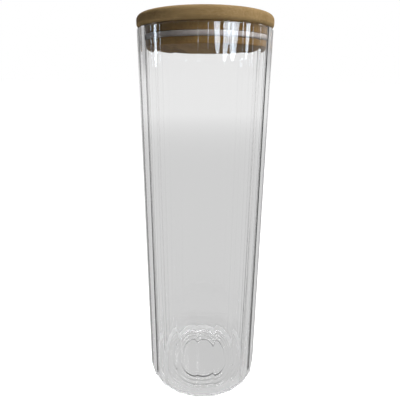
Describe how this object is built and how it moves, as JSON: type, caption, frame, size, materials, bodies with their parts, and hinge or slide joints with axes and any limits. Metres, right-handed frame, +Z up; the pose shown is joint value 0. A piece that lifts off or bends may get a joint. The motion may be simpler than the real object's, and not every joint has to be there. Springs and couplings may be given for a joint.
{
  "type": "lidded glass jar",
  "caption": "Tall clear fluted glass jar with a round bore, a push-in bamboo lid that lifts out and turns, and a silicone seal ring round the lid's plug.",
  "frame": {"origin": "middle of the foot, on the surface that the jar stands on", "axes": "+Z up along the jar's axis, out of its mouth; -Y towards a ridge between two flutes"},
  "size_m": [0.1004, 0.1004, 0.3069],
  "materials": {
    "glass": "clear, fire-polished",
    "cap_bamboo": "sanded carbonised bamboo",
    "plug_bamboo": "sanded carbonised bamboo",
    "silicone": "translucent satin"
  },
  "bodies": {
    "jar": {"glass_body": "glass"},
    "seal": {"seal_ring": "silicone"},
    "lid": {"lid_cap": "cap_bamboo", "lid_plug": "plug_bamboo"}
  },
  "joints": [
    {"name": "lid_lift", "type": "slide", "parent": "jar", "child": "seal", "axis": [0, 0, 1], "range_m": [0, 0.06]},
    {"name": "lid_turn", "type": "hinge", "parent": "seal", "child": "lid", "pos_m": [0, 0, 0.2983], "axis": [0, 0, 1], "continuous": true}
  ]
}
